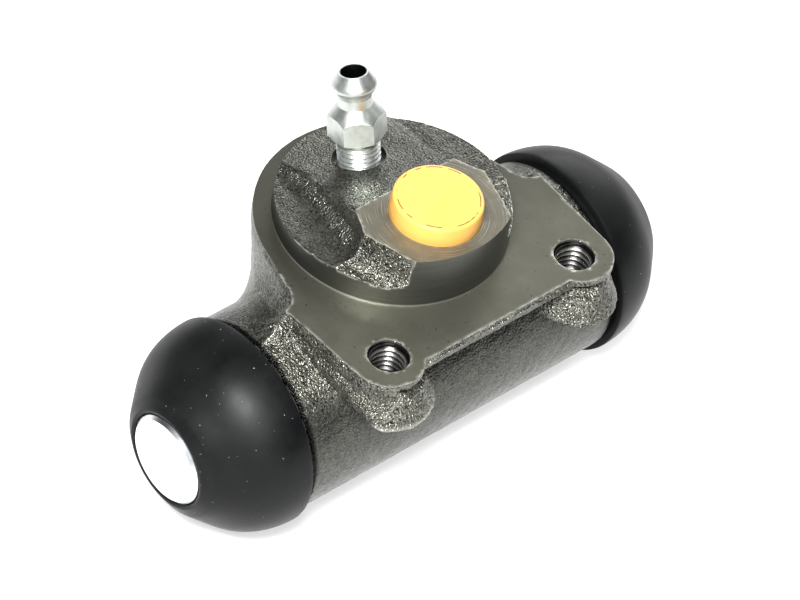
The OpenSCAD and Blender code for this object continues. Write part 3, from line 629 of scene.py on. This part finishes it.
def tapped_thread(name, hole_x):
    """Thin sleeve in a bolt hole: inside, its radius falls from root to crest along a helix; outside, it is a
    plain wall just inside the iron."""
    depth = np.linspace(THREAD_TOP, THREAD_FOOT, 116)
    angle = np.linspace(0, 2 * np.pi, 72, endpoint=False)
    fade = np.clip((THREAD_TOP - depth) / 0.7, 0, 1)[:, None]
    inner = ROOT_R - THREAD_DEEP * fade * thread_wave(depth[:, None] / THREAD_PITCH + angle / (2 * np.pi))
    radius = np.concatenate([inner, np.full((2, 72), SLEEVE_R)])
    height = np.concatenate([depth, [THREAD_FOOT, THREAD_TOP]])[:, None]
    grid = np.stack([hole_x + radius * np.cos(angle), EAR_Y + radius * np.sin(angle),
                     np.broadcast_to(height, radius.shape)], -1)
    piece = make_piece(name, grid.reshape(-1, 3), skin_faces(*radius.shape, True), 50)
    # painted light and shade: crests lit as a highlight that fades deeper in the hole
    crest = np.clip((ROOT_R - radius) / THREAD_DEEP, 0, 1) * np.clip(1 + (height - THREAD_TOP) / 9, 0, 1)
    mark(piece, "crest", crest)
    return piece


thread_steel, tree, shader, place = paint("cut_thread_iron", (0.3, 0.29, 0.26), 0.3, 0.8)
# crests painted light as a highlight, roots painted black as shade
crest = sums(tree, "POWER", node(tree, "Attribute", {}, attribute_name="crest").outputs["Fac"], 3.0)
thread_colour = blend_colour(tree, crest, (0.005, 0.005, 0.005), (0.6, 0.59, 0.55))
tree.links.new(thread_colour, shader.inputs["Base Color"])
polish = between(tree, grains(tree, place, 1200, 3.0), 0.3, 0.7, 0.18, 0.36)
tree.links.new(polish, shader.inputs["Roughness"])
for side, hole_x in (("left", -HOLE_X), ("right", HOLE_X)):
    thread = tapped_thread(side + "_bolt_thread", hole_x)
    thread.data.materials.append(thread_steel)
    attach(thread, "housing")

# Return spring: steel wire coiled in seven turns between the two cup expanders, built as two halves
# that meet at the middle.
SPRING_R, WIRE_R, SPRING_HALF = 5.5, 0.55, 14.6
HALF_TURNS, OPEN_TURNS, CLOSED_PITCH = 3.5, 2.5, 1.1


def half_spring(name, side):
    """Round wire carried along a helix about the bore, its pitch easing to closed coils at the outer end."""
    t = np.linspace(0, 1, 150)
    turns = HALF_TURNS * t
    open_run = SPRING_HALF - WIRE_R - CLOSED_PITCH
    run = np.where(turns < OPEN_TURNS, turns * open_run / OPEN_TURNS,
                   open_run + CLOSED_PITCH * (turns - OPEN_TURNS))
    angle = 2 * np.pi * turns * side
    ring = np.linspace(0, 2 * np.pi, 12, endpoint=False)
    radius = SPRING_R + WIRE_R * np.cos(ring)
    grid = np.stack([side * (run[:, None] + WIRE_R * np.sin(ring)),
                     BORE_Y + radius * np.cos(angle)[:, None], BORE_Z + radius * np.sin(angle)[:, None]], -1)
    count = len(grid)
    points = np.concatenate([grid.reshape(-1, 3), grid[[0, -1]].mean(1)])
    k = np.arange(12)
    caps = [np.stack([np.full(12, count * 12), (k + 1) % 12, k], 1),
            np.stack([np.full(12, count * 12 + 1), (count - 1) * 12 + k, (count - 1) * 12 + (k + 1) % 12], 1)]
    faces = skin_faces(count, 12, False).tolist() + np.concatenate(caps).tolist()
    return make_piece(name, points, faces, 180)


spring_wire, tree, shader, place = paint("spring_wire", (0.5, 0.51, 0.52), 0.3, 1.0)
tree.links.new(between(tree, grains(tree, place, 900, 3.0), 0.3, 0.7, 0.22, 0.42), shader.inputs["Roughness"])
for side, way in (("left", -1), ("right", 1)):
    spring = half_spring(side + "_half_spring", way)
    spring.data.materials.append(spring_wire)
    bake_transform(spring)
    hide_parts("return_spring")

# Cup expanders, cup seals and pistons: pressed sheet, moulded rubber and turned steel, pushed into
# the bore from each end in that order. They keep the solids' shapes and get their finishes here.
expander_sheet, tree, shader, place = paint("passivated_sheet", (0.55, 0.45, 0.2), 0.35, 0.9)
tree.links.new(blend_colour(tree, grains(tree, place, 500, 4.0), (0.5, 0.38, 0.14), (0.58, 0.52, 0.36)),
               shader.inputs["Base Color"])
seal_rubber, tree, shader, place = paint("seal_rubber", (0.012, 0.012, 0.012), 0.5)
tree.links.new(between(tree, grains(tree, place, 700, 3.0), 0.3, 0.7, 0.4, 0.6), shader.inputs["Roughness"])
piston_steel, tree, shader, place = paint("turned_piston_steel", (0.86, 0.87, 0.88), 0.3, 1.0)
smudge = between(tree, grains(tree, place, 240, 5.0, 0.65), 0.35, 0.75)
tree.links.new(blend_colour(tree, smudge, (0.9, 0.91, 0.92), (0.74, 0.8, 0.84)), shader.inputs["Base Color"])
tree.links.new(between(tree, smudge, 0, 1, 0.26, 0.42), shader.inputs["Roughness"])
for side in ("left", "right"):
    for part, material in (("_cup_expander", expander_sheet), ("_cup_seal", seal_rubber),
                           ("_piston", piston_steel)):
        mesh = nodes[side + part].data
        mesh.materials.clear()
        mesh.materials.append(material)

# Dust boots: black rubber domes. The rim's bead sits in the groove of the barrel's nose, the lip's in the
# groove of the piston, so each boot stretches between the two.
BOOT_X, FOLD_X, BOOT_WALL, LIP_X = 30.4, 32.0, 1.5, 44.3
DOME_R, DOME_RISE = 16.28, 0.02


def boot_profile():
    """Section of the boot as a closed line of (distance along the bore, radius): a dome with a wide shallow
    hollow, a rolled lip, the inner wall, the two beads, and the foot that fills the step behind the rim."""
    degrees = np.linspace(87, 36, 60)
    hollow = 0.55 * np.exp(-((degrees - 47.5) / 14) ** 2)
    phi = np.radians(degrees)
    reach_out = DOME_R - hollow
    dome = np.stack([BOOT_X + reach_out * np.cos(phi), DOME_RISE + reach_out * np.sin(phi)], 1)
    turn = np.radians(np.linspace(40, 165, 9))
    lip = np.stack([LIP_X - 0.5 + 0.5 * np.sin(turn), 7.7 + 0.5 * np.cos(turn)], 1)
    inside = np.array([(43.5, 7.2), (43.5, 6.5), (42.1, 6.5), (42.1, 7.2), (41.3, 7.25), (41.2, 8.5)])
    inner_phi = np.radians(np.linspace(43, 70, 16))
    inner = np.stack([BOOT_X + (DOME_R - BOOT_WALL - 0.5) * np.cos(inner_phi),
                      (DOME_R - BOOT_WALL - 0.5) * np.sin(inner_phi)], 1)
    foot = np.array([(34.0, 13.4), (32.5, 13.4), (32.5, 12.4), (31.1, 12.4), (31.1, 13.4), (29.8, 13.4),
                     (29.8, 14.9), (30.4, 14.95), (30.4, 16.05), (30.5, 16.22), (30.75, 16.28)])
    return np.concatenate([dome, lip, inside, inner, foot])


def boot(name, side):
    """The boot's section turned round the bore axis."""
    line = boot_profile()
    angle = np.linspace(0, 2 * np.pi, 160, endpoint=False)
    grid = np.stack([np.broadcast_to(side * line[:, :1], (len(line), 160)),
                     BORE_Y + line[:, 1:] * np.cos(angle), BORE_Z + line[:, 1:] * np.sin(angle)], -1)
    faces = skin_faces(len(line), 160, True)
    return make_piece(name, grid.reshape(-1, 3), faces if side < 0 else faces[:, ::-1], 40)


boot_rubber, tree, shader, place = paint("boot_rubber", (0.01, 0.0105, 0.011), 0.44)
bloom = between(tree, grains(tree, place, 120, 5.0, 0.6), 0.35, 0.7)
dust = between(tree, grains(tree, place, 2300, 1.0), 0.775, 0.81)
rubber_colour = blend_colour(tree, bloom, (0.003, 0.0033, 0.0035), (0.0075, 0.0082, 0.0082))
tree.links.new(blend_colour(tree, dust, rubber_colour, (0.22, 0.22, 0.22)), shader.inputs["Base Color"])
tree.links.new(between(tree, bloom, 0, 1, 0.4, 0.5), shader.inputs["Roughness"])
# the rim's end face hardly shines
along = node(tree, "Math", {0: reach(tree, place, "X")}, operation="ABSOLUTE").outputs[0]
tree.links.new(between(tree, along, 0.0303, 0.0306, 0.02, 0.17), shader.inputs["Specular IOR Level"])
emboss(tree, shader, grains(tree, place, 900, 3.0), 0.3, 0.00004)
for side, way in (("left", -1), ("right", 1)):
    cover = boot(side + "_dust_boot", way)
    cover.data.materials.append(boot_rubber)
    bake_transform(cover)
    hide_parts(side + "_boot")

# Bleed screw: zinc-plated steel with a hose nipple, hexagon and thread, screwed into the leaning hole
# until its cone closes the passage from the bore.
HEX_FLAT, HEX_TURN, SCREW_PITCH, SCREW_TIP = 3.8, math.radians(23), 0.75, 14.28


def screw_radius(height, angle):
    """Outside radius of the bleed screw by height along its axis and angle: cone, thread, hexagon with turned
    chamfers, neck, and the bulge that holds a hose."""
    turned_line = np.array([(-13, 1.4), (-11.15, 2.9), (2.6, 2.9), (2.8, 3.05), (3.55, 3.05), (3.6, 3.75),
                            (3.9, 4.45), (6.9, 4.45), (9.0, 2.56), (10.6, 2.56), (10.75, 2.66), (11.0, 2.66),
                            (11.1, 2.75), (11.75, 3.28), (12.0, 3.38), (12.3, 3.38), (12.6, 3.27),
                            (14.1, 2.3), (SCREW_TIP, 2.18)])
    plain = np.interp(height, turned_line[:, 0], turned_line[:, 1])
    thread = thread_wave(height / SCREW_PITCH + angle / (2 * np.pi))
    threaded = ((height > -10.8) & (height < 2.6)).astype(float)
    hexagon = HEX_FLAT / np.cos(((angle - HEX_TURN) % (np.pi / 3)) - np.pi / 6)
    shape = plain + 0.34 * threaded * thread
    return np.where((height > 3.57) & (height < 8.9), np.minimum(shape, hexagon), shape)


def bleed_screw_skin():
    """Grid of the screw from its cone up to the tip and down into the drilled hole, on the leaning axis."""
    angle = HEX_TURN + np.linspace(0, 2 * np.pi, 96, endpoint=False)
    up = np.concatenate([np.linspace(-13, -11.2, 5), np.linspace(-11, 2.6, 190), [2.8, 3.2, 3.54, 3.58],
                         np.linspace(3.6, 4.2, 9), np.linspace(4.6, 6.8, 5), np.linspace(6.9, 9.0, 31),
                         np.linspace(9.2, SCREW_TIP, 40)])
    outer = screw_radius(up[:, None], angle[None, :])
    inside = np.array([(SCREW_TIP, 1.87), (14.1, 1.8), (13.1, 1.75), (8, 1.7), (2, 1.3), (-8, 1.3),
                       (-8, 0.02)])
    radius = np.concatenate([np.full((1, 96), 0.02), outer, np.repeat(inside[:, 1:], 96, 1)])
    height = np.concatenate([[-13], up, inside[:, 0]])[:, None]
    c, s = math.cos(BLEED_LEAN), math.sin(BLEED_LEAN)
    across, off = radius * np.cos(angle), radius * np.sin(angle)
    grid = np.stack([BLEED_FOOT[0] + across, BLEED_FOOT[1] + c * off + s * height,
                     BLEED_FOOT[2] - s * off + c * height], -1)
    return grid.reshape(-1, 3), skin_faces(*radius.shape, False)


def off_axis(tree, place):
    """Distance of the place from the Z axis."""
    flat = node(tree, "VectorMath", {0: place, 1: (1, 1, 0)}, operation="MULTIPLY").outputs[0]
    return node(tree, "VectorMath", {0: flat}, operation="LENGTH").outputs["Value"]


screw_points, screw_faces = bleed_screw_skin()
bleed_screw = make_piece("bleed_screw_zinc", screw_points, screw_faces[:, ::-1], 32)
zinc, tree, shader, place = paint("zinc_plate", (0.6, 0.62, 0.6), 0.36, 0.85)
cloud = between(tree, grains(tree, place, 700, 5.0, 0.6), 0.3, 0.7)
zinc_colour = blend_colour(tree, cloud, (0.46, 0.49, 0.46), (0.64, 0.67, 0.64))
upright = node(tree, "Mapping", {"Vector": place, "Location": (BLEED_FOOT * MM).tolist(),
                                 "Rotation": (-BLEED_LEAN, 0, 0)}, vector_type="TEXTURE").outputs[0]
# painted shade: the hose nipple's hole goes black inside
bore = between(tree, off_axis(tree, upright), 0.00205, 0.0019)
zinc_colour = blend_colour(tree, bore, zinc_colour, (0.006, 0.006, 0.006))
tree.links.new(zinc_colour, shader.inputs["Base Color"])
tree.links.new(between(tree, cloud, 0, 1, 0.28, 0.42), shader.inputs["Roughness"])
bleed_screw.data.materials.append(zinc)
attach(bleed_screw, "bleeder")
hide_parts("bleed_screw")

# Shipping plug: yellow plastic cap with a hollow stub, moulded in one piece, with a faint dark ring painted
# on its top as the shade of a fine groove, pushed into the inlet port to keep dirt out.


def plug_skin():
    """Plug's section of (radius, height above the port face) turned round the port axis: cap, then stub."""
    line = np.array([(0.02, 3.1), (4.0, 3.12), (6.1, 3.1), (6.35, 3.08), (6.5, 3.0), (6.62, 2.85),
                     (6.66, 2.7), (6.8, 1.4), (6.93, 0.1), (6.88, 0.0), (4.95, 0.0), (4.9, -0.2),
                     (4.9, -6.0), (4.3, -7.0), (3.7, -7.0), (3.7, 1.9), (0.02, 1.9)])
    angle = np.linspace(0, 2 * np.pi, 128, endpoint=False)
    radius = np.repeat(line[:, :1], 128, 1)
    height = np.repeat(line[:, 1:], 128, 1)
    grid = np.stack([PORT_X + radius * np.cos(angle), PORT_Y + radius * np.sin(angle),
                     PORT_FACE + height], -1)
    return grid.reshape(-1, 3), skin_faces(*radius.shape, False)


plug_points, plug_faces = plug_skin()
port_plug = make_piece("inlet_plug", plug_points, plug_faces[:, ::-1], 40)
yellow, tree, shader, place = paint("yellow_plastic", (0.98, 0.74, 0.1), 0.42)
cloud = between(tree, grains(tree, place, 200, 4.0), 0.3, 0.7)
plug_colour = blend_colour(tree, cloud, (0.8, 0.43, 0.085), (0.84, 0.47, 0.11))
aside = node(tree, "Mapping", {"Vector": place, "Location": (-PORT_X * MM, -PORT_Y * MM, 0)}).outputs[0]
from_ring = sums(tree, "SUBTRACT", off_axis(tree, aside), 0.00605)
off_line = node(tree, "Math", {0: from_ring}, operation="ABSOLUTE").outputs[0]
broken = between(tree, grains(tree, place, 420, 1.0), 0.5, 0.54)
# painted shade: a broken dark ring on the top, standing for a fine groove
groove_shade = sums(tree, "MULTIPLY", between(tree, off_line, 0.00012, 0.00006), broken)
tree.links.new(blend_colour(tree, groove_shade, plug_colour, (0.09, 0.07, 0.03)), shader.inputs["Base Color"])
shader.inputs["Subsurface Weight"].default_value = 0.15
shader.inputs["Subsurface Radius"].default_value = (0.002, 0.0015, 0.0005)
port_plug.data.materials.append(yellow)
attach(port_plug, "housing")
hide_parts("port_plug")

# Stage: a pale floor just under the boots that glows a little round the part, a dim sky, five soft area
# lights, and the camera as it was found from the photograph.
FLOOR_Z, FLOOR_HALF = -0.0359, 3
ends = ((-1, -1), (1, -1), (1, 1), (-1, 1))
floor_mesh = bpy.data.meshes.new("floor")
floor_mesh.from_pydata([(x * FLOOR_HALF, y * FLOOR_HALF, FLOOR_Z) for x, y in ends], [], [(0, 1, 2, 3)])
floor = bpy.data.objects.new("floor", floor_mesh)
bpy.context.scene.collection.objects.link(floor)
floor_paint, tree, shader, place = paint("floor_white", (0.5, 0.5, 0.5), 0.8)
far = node(tree, "VectorMath", {0: place}, operation="LENGTH").outputs["Value"]
shader.inputs["Emission Color"].default_value = (1, 1, 1, 1)
tree.links.new(between(tree, far, 0.16, 0.5, 0.6, 0.05), shader.inputs["Emission Strength"])
floor_mesh.materials.append(floor_paint)
floor.visible_diffuse = False

world = bpy.data.worlds.new("studio")
world.use_nodes = True
sky = world.node_tree
height = reach(sky, sky.nodes.new("ShaderNodeTexCoord").outputs["Generated"], "Z")
sky.links.new(between(sky, height, -0.2, 0.7, 0.12, 0.05), sky.nodes["Background"].inputs["Strength"])
bpy.context.scene.world = world


def soft_light(name, place, aim, wide, tall, watts):
    """Oblong area light at a place, turned to face a point, its wide side level."""
    lamp = bpy.data.lights.new(name, "AREA")
    lamp.shape, lamp.size, lamp.size_y, lamp.energy = "RECTANGLE", wide, tall, watts
    holder = bpy.data.objects.new(name, lamp)
    holder.location = place
    holder.rotation_euler = (Vector(aim) - Vector(place)).to_track_quat("-Z", "Y").to_euler()
    bpy.context.scene.collection.objects.link(holder)


AIM = (0, 0, -0.01)
soft_light("key_light", (-0.46, -0.28, 0.76), AIM, 0.26, 0.18, 22)
soft_light("front_light", (-0.5, -0.62, 0.5), AIM, 0.6, 0.3, 3.0)
soft_light("right_light", (0.8, 0.1, 0.5), AIM, 0.9, 0.3, 0.7)
soft_light("back_light", (0.6, 0.5, 0.62), AIM, 0.8, 0.6, 1.0)
soft_light("low_back_light", (0.78, 0.5, 0.27), AIM, 0.8, 0.3, 4.0)

camera = bpy.data.objects.new("camera", bpy.data.cameras.new("camera"))
FOCAL_PIXELS, PICTURE_PIXELS, SENSOR_MM = 4500, 800, 36
camera.data.sensor_width = SENSOR_MM
camera.data.lens = FOCAL_PIXELS * SENSOR_MM / PICTURE_PIXELS
camera.data.clip_start = 0.01
right = (0.7481046, -0.6480842, 0.1425705)
down = (-0.4018288, -0.6134128, -0.6798958)
ahead = (0.5280843, 0.4513443, -0.7193159)
eye = (-0.3489342, -0.3032302, 0.4622869)
camera.matrix_world = Matrix([[right[k], -down[k], -ahead[k], eye[k]] for k in range(3)] + [[0, 0, 0, 1]])
bpy.context.scene.collection.objects.link(camera)
bpy.context.scene.camera = camera
bpy.context.scene.view_settings.view_transform = "Standard"
